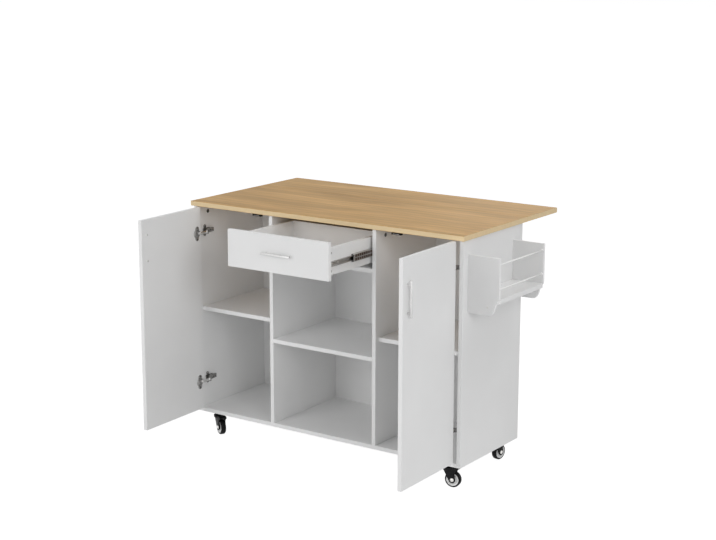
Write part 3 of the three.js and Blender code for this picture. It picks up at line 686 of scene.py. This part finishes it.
def prism(outline, depth, bevel, segments=2):
    """A flat outline of (x, y) points pushed along Z, with all its sharp edges rounded."""
    bm = bmesh.new()
    face = bm.faces.new([bm.verts.new((x, y, 0)) for x, y in outline])
    pushed = bmesh.ops.extrude_face_region(bm, geom=[face])
    high = [v for v in pushed["geom"] if isinstance(v, bmesh.types.BMVert)]
    bmesh.ops.translate(bm, vec=(0, 0, depth), verts=high)
    bmesh.ops.recalc_face_normals(bm, faces=bm.faces)
    bmesh.ops.bevel(
        bm,
        geom=[edge for edge in bm.edges if edge.calc_face_angle(0) > math.radians(SHARP_EDGE)],
        offset=bevel,
        offset_type="OFFSET",
        segments=segments,
        profile=0.5,
        affect="EDGES",
        material=-1,
    )
    return bm


def arc(middle, radius, degrees):
    """The points of an arc at the given angles."""
    turns = [math.radians(angle) for angle in degrees]
    return [(middle[0] + radius * math.cos(t), middle[1] + radius * math.sin(t)) for t in turns]


def rounded_rectangle(width, height, radius):
    """A rectangle round the origin, each corner an arc in a few steps."""
    right, top = width / 2 - radius, height / 2 - radius
    points = []
    for sx, sy, start in ((1, 1, 0), (-1, 1, 90), (-1, -1, 180), (1, -1, 270)):
        quarter = [start + 90 * step / CORNER_STEPS for step in range(CORNER_STEPS + 1)]
        points += arc((sx * right, sy * top), radius, quarter)
    return points


print("a rounded square of 20 mm has", len(rounded_rectangle(20, 20, 2)), "points")

# %% Magnet catches
CATCH_PLACE = 305
CATCH_WIDTH, CATCH_DEPTH, CATCH_HEIGHT = 40, 13, 14.5
CATCH_CORNER, CATCH_EDGE = 2, 0.8
CATCH_MIDDLE = 24.5
CATCH_GAP = 0.2
POLE_WIDTH, POLE_HEIGHT, POLE_REACH = 24, 1.6, 3.0
POLE_CORNER, POLE_EDGE = 0.4, 0.15
POLE_START = 18.4
POLE_LEVEL = 878.5
POLE_PITCH = 6.4

for side, out in SIDES.items():
    outline = rounded_rectangle(CATCH_WIDTH, CATCH_DEPTH, CATCH_CORNER)
    block = prism(outline, CATCH_HEIGHT, CATCH_EDGE)
    spot = place(out * CATCH_PLACE, CATCH_MIDDLE, PANEL_TOP - CATCH_GAP - CATCH_HEIGHT)
    gather(f"catch_body_{side}", [(block, spot)], BLACK, "cabinet")
    outline = rounded_rectangle(POLE_WIDTH, POLE_HEIGHT, POLE_CORNER)
    poles = []
    for half in (-POLE_PITCH / 2, POLE_PITCH / 2):
        pole = prism(outline, POLE_REACH, POLE_EDGE)
        spot = place(out * CATCH_PLACE, POLE_START, POLE_LEVEL + half, facing((0, -1, 0)))
        poles.append((pole, spot))
    gather(f"catch_cheeks_{side}", poles, NICKEL, "cabinet")
print("magnet catches made")

# %% [markdown]
# ## Drawer slides
#
# Between the rolled steel members run two rows of balls in a bent strip, the cage. A black plastic clip
# closes the front of the middle member. It is a C, so that the inner member slides through it with a gap
# all round. The cage's holes could be cut into the steel, but its members are solids that stay as they
# are. Thin dark plates on the middle member's web show the windows of the cage instead. Their colour is
# partly the cage's dark bronze and partly painted shade, the dark seen through the windows. Pan head
# screws hold the inner member on the drawer's side, and two grey locks join that side to the drawer's
# front.

# %% Clips and cage windows
SLIDE_LEVEL = 802.5
SLIDE_FRONT = box_mm("slide_middle_right")[0][1]
CLIP_THICK, CLIP_TALL, CLIP_DEPTH = 8.2, 24.0, 7.0
CLIP_EDGE = 0.4
CLIP_WALL = 1.8
CLIP_OPENING = 18.2
CLIP_PLACE = 212.4
CLIP_START = 5.5
WINDOWS = 9
WINDOW_START, WINDOW_STEP = 9, 13
WINDOW_LENGTH, WINDOW_TALL = 10.5, 9.0
WINDOW_ROW = 6.2
WINDOW_SUNK, WINDOW_PROUD = 0.2, 0.25
WINDOW_EDGE = 0.12


def clip_outline(out):
    """Seen from the front: a C that is open towards the drawer."""
    face, top = CLIP_THICK / 2, CLIP_TALL / 2
    wall, gap = face - CLIP_WALL, CLIP_OPENING / 2
    outside = [(-face, top), (face, top), (face, -top), (-face, -top)]
    inside = [(-face, -gap), (wall, -gap), (wall, gap), (-face, gap)]
    return [(out * x, z) for x, z in outside + inside]


def plate(low, high):
    """A thin box between two corners of the designer's frame, with its edges just broken."""
    (x0, y0, z0), (x1, y1, z1) = low, high
    outline = [(x0, y0), (x1, y0), (x1, y1), (x0, y1)]
    return prism(outline, z1 - z0, WINDOW_EDGE, segments=1), place(0, 0, z0)


def cage_windows(side, out):
    """Two rows of dark plates along the outer face of a middle member's web, partly painted shade."""
    low, high = box_mm(f"slide_middle_{side}")
    web = high[0] if out > 0 else low[0]
    near, far = sorted((web - out * WINDOW_SUNK, web + out * WINDOW_PROUD))
    plates = []
    for k in range(WINDOWS):
        start = SLIDE_FRONT + WINDOW_START + WINDOW_STEP * k
        for z in (SLIDE_LEVEL - WINDOW_ROW, SLIDE_LEVEL + WINDOW_ROW):
            corner = (near, start, z - WINDOW_TALL / 2)
            plates.append(plate(corner, (far, start + WINDOW_LENGTH, z + WINDOW_TALL / 2)))
    return plates


print("windows in each cage:", len(cage_windows("right", 1)))

# %% Slide details
DRAWER_PULL = -box_mm("drawer_front")[0][1]
SLIDE_SCREW = (3.4, 1.4)
INNER_FACE = 207.55
INNER_SCREWS_BACK = (34, 66, 180, 330)
DRAWER_LOCK_DISC = (4.2, 0.5)
DRAWER_SIDE_FACE = box_mm("drawer_side_right")[1][0]
DRAWER_LOCK_BACK = 29
DRAWER_LOCK_LEVELS = (SLIDE_LEVEL - 27, SLIDE_LEVEL + 36)

for side, out in SIDES.items():
    outwards = facing((out, 0, 0))
    upright = Matrix.Rotation(math.radians(90), 3, "X")
    clip = prism(clip_outline(out), CLIP_DEPTH, CLIP_EDGE)
    spot = place(out * CLIP_PLACE, SLIDE_FRONT + CLIP_START, SLIDE_LEVEL, upright)
    gather(f"slide_clip_{side}", [(clip, spot)], BLACK, "slide_middles")
    # The windows' dark plates are partly painted shade.
    gather(f"slide_windows_{side}", cage_windows(side, out), CAGE_AND_SHADE, "slide_middles")
    screws, locks = [], []
    for back in INNER_SCREWS_BACK:
        spot = place(out * INNER_FACE, back - DRAWER_PULL, SLIDE_LEVEL, outwards)
        screws.append((cross_screw(*SLIDE_SCREW), spot))
    gather(f"slide_screws_{side}", screws, SCREW, "drawer")
    for level in DRAWER_LOCK_LEVELS:
        spot = place(out * DRAWER_SIDE_FACE, DRAWER_LOCK_BACK - DRAWER_PULL, level, outwards)
        locks.append((cross_screw(*DRAWER_LOCK_DISC), spot))
    gather(f"drawer_locks_{side}", locks, DRAWER_LOCK, "drawer")
print("slide details made, with the drawer pulled", DRAWER_PULL, "mm")

# %% [markdown]
# ## Handle screws
#
# Each bar handle is held by two screws from behind. Their heads show on the inner faces of the doors and
# of the drawer's front. They could be left out, since the front hides them, but both doors stand open in
# the picture. Their levels come from the handles' own boxes, so they always sit behind the handle's feet.

# %% Handle screws
HANDLE_ALONG = 305.7
HANDLE_PITCH = 96
HANDLE_SCREW = (3.9, 1.6)

feet = (-HANDLE_PITCH / 2, HANDLE_PITCH / 2)
for side in SIDES:
    heads = []
    for half in feet:
        level = middle_mm(f"handle_{side}")[2] + half
        spot = door_spot(side, HANDLE_ALONG, DOOR_BACK, level)
        heads.append((cross_screw(*HANDLE_SCREW), place(*spot, facing(door_normal(side)))))
    gather(f"handle_screws_{side}", heads, SCREW, f"{side}_door")

front_back = box_mm("drawer_front")[1][1]
handle_level = middle_mm("drawer_handle")[2]
heads = []
for x in feet:
    spot = place(x, front_back, handle_level, facing((0, 1, 0)))
    heads.append((cross_screw(*HANDLE_SCREW), spot))
gather("handle_screws_drawer", heads, SCREW, "drawer")
print("handle screws made, the drawer's at level", handle_level)

# %% [markdown]
# ## Casters
#
# The roller is a black tread on a pale hub. The hub is a dished disc with a raised ring, and the axle
# ends in a bright domed nut on each cheek of the fork. Both are turned pieces, so half an outline spun
# round its axis makes them, where a stack of cylinders would show its steps. The dish is a thin shell,
# open at the back, so Blender can't tell its outside. Its faces are turned by hand to look outwards.

# %% Hub and nut
HUB_PROFILE = [  # (radius, height): the collar round the axle, the dish, the raised ring, the rim
    (9.2, 0.2), (10.0, 1.6), (11.5, 0.9), (15.5, 0.6),
    (16.5, 1.7), (19.5, 2.4), (21.8, 2.9), (22.6, 3.05),
]  # fmt: skip
NUT_PROFILE = [(0, 3.4), (2.6, 3.1), (4.4, 2.2), (5.2, 1.0), (6.6, 0.9), (6.9, 0.0), (0, 0.0)]
HUB_SEGMENTS = 48
NUT_SEGMENTS = 28


def hub_dish():
    dish = spun(HUB_PROFILE, HUB_SEGMENTS)
    if sum(face.normal.z for face in dish.faces) < 0:
        bmesh.ops.reverse_faces(dish, faces=dish.faces)
    return dish


print("a hub has", len(hub_dish().faces), "faces, a nut", len(spun(NUT_PROFILE, NUT_SEGMENTS).faces))

# %% [markdown]
# ## Fork cheeks
#
# A cheek plate lies over each side of the fork. It is as long as the crown at the top and narrows to the
# round boss at the axle. Its rear edge is straight, and its front edge is hollow, to clear the tread. The
# plate could be cut from a block, but an outline of one arc, one curve and a few corners says the same
# in fewer steps.

# %% Fork cheeks
WHEEL_RADIUS = box_mm("caster_wheel_front_right")[1][2] / 2
TRAIL = 20  # how far the axle lies ahead of the stem
CHEEK_REAR = 17
CHEEK_REACH = 40
CHEEK_TOP = 72
CHEEK_CORNER = 2
CHEEK_EDGE = 0.4
CHEEK_BOSS = 12
CHEEK_INNER = 11.2  # from the wheel's middle plane
CHEEK_OUTER = 14.3
BOSS_ANGLES = range(209, 379, 13)
HOLLOW = (Vector((28, 50)), Vector((29, 61)), Vector((CHEEK_REACH, 63)))
HOLLOW_STEPS = 6


def cheek_outline():
    """Seen from the side, x ahead of the stem and y up: rear corner, boss, hollow front, top corner."""
    start, pull, end = HOLLOW
    hollow = []
    for step in range(HOLLOW_STEPS + 1):
        t = step / HOLLOW_STEPS
        hollow.append(tuple(start * (1 - t) ** 2 + pull * 2 * t * (1 - t) + end * t * t))
    boss = arc((TRAIL, WHEEL_RADIUS), CHEEK_BOSS, BOSS_ANGLES)
    top = [(CHEEK_REACH, CHEEK_TOP - CHEEK_CORNER), (CHEEK_REACH - CHEEK_CORNER, CHEEK_TOP)]
    return [(-CHEEK_REAR, CHEEK_TOP), *boss, *hollow, *top]


print("a cheek's outline has", len(cheek_outline()), "points")

# %% [markdown]
# ## Four corners
#
# Each caster stands at its own angle, as casters do after the island has been pushed about. Modelled
# pieces could be parented to a turned empty, but a finished object here has to stay unturned. So the
# turn goes into three directions: ahead, along the axle, and up. Every piece is placed by them.

# %% Four corners
CORNERS = {  # stem's x and y, and the angle in degrees that the caster points at
    "front_left": (-515, 38, -29),
    "front_right": (515, 38, 11),
    "back_left": (-515, 367, 60),
    "back_right": (515, 367, 80),
}
HUB_FACE = 6.5  # from the wheel's middle plane
NUT_FACE = 14.0

for corner, (x, y, degrees) in CORNERS.items():
    turn = math.radians(degrees)
    ahead = Vector((math.cos(turn), math.sin(turn), 0))
    axle = Vector((-math.sin(turn), math.cos(turn), 0))
    middle = Vector((x, y, WHEEL_RADIUS)) + ahead * TRAIL
    upright = Matrix((ahead, (0, 0, 1), -axle)).transposed()
    hubs, nuts, cheeks = [], [], []
    for look in (-1, 1):
        cheek = prism(cheek_outline(), CHEEK_OUTER - CHEEK_INNER, CHEEK_EDGE)
        start = Vector((x, y, 0)) + axle * (CHEEK_OUTER if look > 0 else -CHEEK_INNER)
        cheeks.append((cheek, place(*start, upright)))
        outwards = facing(axle * look)
        face = middle + axle * look * HUB_FACE
        hubs.append((hub_dish(), place(*face, outwards)))
        face = middle + axle * look * NUT_FACE
        nuts.append((spun(NUT_PROFILE, NUT_SEGMENTS), place(*face, outwards)))
    gather(f"caster_hub_{corner}", hubs, HUB, f"{corner}_wheel")
    gather(f"caster_rivets_{corner}", nuts, SCREW, f"{corner}_fork")
    gather(f"caster_cheeks_{corner}", cheeks, BLACK, f"{corner}_fork")
print("casters dressed:", len(CORNERS))

# %% [markdown]
# ## Folding brackets
#
# The brackets under the leaf are riveted and screwed. The rivets are the turning points, and the screws
# run through the webs into the back panel and into the leaf. The solids already have the pins, so only
# what shows outside is added: a low dome at each end of a pin, and the screws' heads. They are spun like
# the casters' nuts. Two of the screws go with the leaf when it folds down, so they are an object apart.

# %% Folding brackets
BRACKET_PLACE = middle_mm("leaf_wall_bracket_right")[0]
RIVET_PROFILE = [(0, 1.4), (2.2, 1.3), (3.6, 0.7), (4.0, 0.0), (0, 0.0)]
PIVOT_BACK = 425.5
PIVOT_LEVELS = (880, 800)
EAR_FACE = 15.0  # from the bracket's middle
BRACKET_SCREW = (3.6, 1.6)
WALL_WEB = 407.3
WALL_SCREW_LEVELS = (700, 740, 860)
LEAF_WEB = 884.7
LEAF_SCREWS_BACK = (452, 482)

fixed, moving = [], []
for x in (-BRACKET_PLACE, BRACKET_PLACE):
    for level in PIVOT_LEVELS:
        for look in (-1, 1):
            spot = place(x + look * EAR_FACE, PIVOT_BACK, level, facing((look, 0, 0)))
            fixed.append((spun(RIVET_PROFILE, HEAD_SEGMENTS), spot))
    for level in WALL_SCREW_LEVELS:
        spot = place(x, WALL_WEB, level, facing((0, 1, 0)))
        fixed.append((cross_screw(*BRACKET_SCREW), spot))
    for back in LEAF_SCREWS_BACK:
        spot = place(x, back, LEAF_WEB, facing((0, 0, -1)))
        moving.append((cross_screw(*BRACKET_SCREW), spot))
gather("bracket_rivets", fixed, SCREW, "cabinet")
gather("leaf_screws", moving, SCREW, "drop_leaf")
print("rivets and screws on the brackets:", len(fixed) + len(moving))

# %% [markdown]
# ## Side rack
#
# The rods are let into the brackets and closed by small collars. The screws that hold the towel bar
# come through from outside, under flat caps. A collar could be a torus, but a torus has no flat foot to
# stand on. A short outline spun round the rod has one. Each rod's own box gives its place and its radius.

# %% Side rack
RODS = ("rack_rail_upper", "rack_rail_lower", "towel_bar")
COLLAR_PROFILE = [(0, 0), (2.0, 0), (1.8, 1.2), (0.6, 2.2), (0, 2.2)]  # out from the rod, and up
COLLAR_SEGMENTS = 28
CAP = (3.6, 0.8)


def collar_on(rod):
    """A collar round a rod, standing on z = 0, and the rod's x and z."""
    low, high = box_mm(rod)
    radius = (high[0] - low[0]) / 2
    profile = [(radius + wide, tall) for wide, tall in COLLAR_PROFILE]
    x, _, z = middle_mm(rod)
    return spun(profile, COLLAR_SEGMENTS), x, z


front_bracket, back_bracket = box_mm("rack_bracket_front"), box_mm("rack_bracket_back")
collars, caps = [], []
for y, look in ((front_bracket[1][1], 1), (back_bracket[0][1], -1)):
    for rod in RODS:
        collar, x, z = collar_on(rod)
        collars.append((collar, place(x, y, z, facing((0, look, 0)))))
bar_x, _, bar_z = middle_mm("towel_bar")
for y, look in ((front_bracket[0][1], -1), (back_bracket[1][1], 1)):
    caps.append((cross_screw(*CAP), place(bar_x, y, bar_z, facing((0, look, 0)))))
gather("rack_collars", collars, ROD, "cabinet")
gather("rack_screws", caps, SCREW, "cabinet")
print("collars:", len(collars), "caps:", len(caps))

# %% [markdown]
# ## Camera
#
# The camera repeats the photograph's: a long lens well in front of the right-hand end, a little above
# the worktop. It could be placed by eye, but then no edge would lie quite where it should. Its place,
# turn and lens were fitted to the straight edges of the cabinet.

# %% Camera
CAMERA_LENS = 79.268
CAMERA_SENSOR = 36.0
CAMERA_PLACE = (3220.19, -4429.26, 1927.78)  # in the designer's millimetres
CAMERA_TURN = (77.49524, -0.1003, 34.67483)

camera_data = bpy.data.cameras.new("camera")
camera_data.lens = CAMERA_LENS
camera_data.sensor_width = CAMERA_SENSOR
camera_data.clip_start = 0.05
camera_data.clip_end = 100.0
camera = bpy.data.objects.new("camera", camera_data)
camera.location = at(*CAMERA_PLACE)
camera.rotation_euler = [math.radians(angle) for angle in CAMERA_TURN]
bpy.context.scene.collection.objects.link(camera)
bpy.context.scene.camera = camera
print("camera at", [round(c, 3) for c in camera.location])

# %% [markdown]
# ## Light
#
# In the photograph, soft light comes from all round. One sun would throw hard shadows into the bays.
# Broad discs of light have soft edges: one in front, one at the right-hand side and one overhead light
# the panels together with an even sky, and a low lamp behind gives the worktop its sheen.


# %% Lamps
def lamp(name, size, power, stands, aims):
    """A disc of light, in metres and watts, that the camera doesn't see."""
    data = bpy.data.lights.new(name, "AREA")
    data.shape = "DISK"
    data.size = size
    data.energy = power
    obj = bpy.data.objects.new(name, data)
    obj.location = stands
    obj.rotation_euler = (Vector(aims) - Vector(stands)).to_track_quat("-Z", "Y").to_euler()
    obj.visible_camera = False
    bpy.context.scene.collection.objects.link(obj)


lamp("key", size=3.0, power=56.0, stands=(-1.2, -4.3, 1.9), aims=(0, 0, 0.5))
lamp("side", size=2.4, power=46.0, stands=(3.6, -2.4, 2.4), aims=(0, 0, 0.5))
lamp("overhead", size=3.0, power=31.0, stands=(1.6, 0.6, 4.2), aims=(0.3, 0, 0.5))
lamp("sheen", size=2.0, power=8.0, stands=(-1.4, 4.6, 1.7), aims=(0.6, 0.1, 0.9))
print("lamps:", len(bpy.data.lights))

# %% [markdown]
# ## Sky and floor
#
# The island stands on a white ground. A white that bright would flood the object with light if it were
# real. So sky and floor show white to the camera and in reflections only, and to every other ray they
# are a soft grey sky and plain pale paper. The floor still takes the object's shadow, because a little
# of what the camera sees of it is lit like any surface.

# %% Sky and floor
WHITE = (1, 1, 1, 1)
SKY = {"Color": (0.985, 0.99, 1.0, 1), "Strength": 0.32}
PAPER = (0.92, 0.92, 0.92, 1)
FLOOR_GLOW = 0.93
FLOOR_LIT = (0.30, 0.30, 0.30, 1)
FLOOR_REACH = 30.0
FLOOR_DROP = 0.0005


def seen_or_light(tree, lighting, shown):
    """One shader for the rays that light the object, another for the camera and reflections."""
    path = add(tree, "ShaderNodeLightPath")
    rays = {0: path.outputs["Is Camera Ray"], 1: path.outputs["Is Glossy Ray"]}
    seen = add(tree, "ShaderNodeMath", rays, operation="MAXIMUM").outputs[0]
    shaders = {0: seen, 1: lighting.outputs[0], 2: shown.outputs[0]}
    return add(tree, "ShaderNodeMixShader", shaders).outputs[0]


world = bpy.data.worlds.new("studio")
bpy.context.scene.world = world
tree = cleared_tree(world)
soft = add(tree, "ShaderNodeBackground", SKY)
white = add(tree, "ShaderNodeBackground", {"Color": WHITE, "Strength": 1.0})
add(tree, "ShaderNodeOutputWorld", {"Surface": seen_or_light(tree, soft, white)})

floor_white = bpy.data.materials.new("floor_white")
tree = cleared_tree(floor_white)
paper = add(tree, "ShaderNodeBsdfDiffuse", {"Color": PAPER})
glow = add(tree, "ShaderNodeEmission", {"Color": WHITE, "Strength": FLOOR_GLOW})
lit = add(tree, "ShaderNodeBsdfDiffuse", {"Color": FLOOR_LIT})
both = add(tree, "ShaderNodeAddShader", {0: lit.outputs[0], 1: glow.outputs[0]})
add(tree, "ShaderNodeOutputMaterial", {"Surface": seen_or_light(tree, paper, both)})

bm = bmesh.new()
bmesh.ops.create_grid(bm, x_segments=1, y_segments=1, size=FLOOR_REACH)
floor_mesh = bpy.data.meshes.new("floor")
bm.to_mesh(floor_mesh)
bm.free()
floor_mesh.materials.append(floor_white)
floor = bpy.data.objects.new("floor", floor_mesh)
floor.location.z = -FLOOR_DROP
bpy.context.scene.collection.objects.link(floor)
bpy.context.scene.view_settings.view_transform = "Standard"
print("sky and floor made")
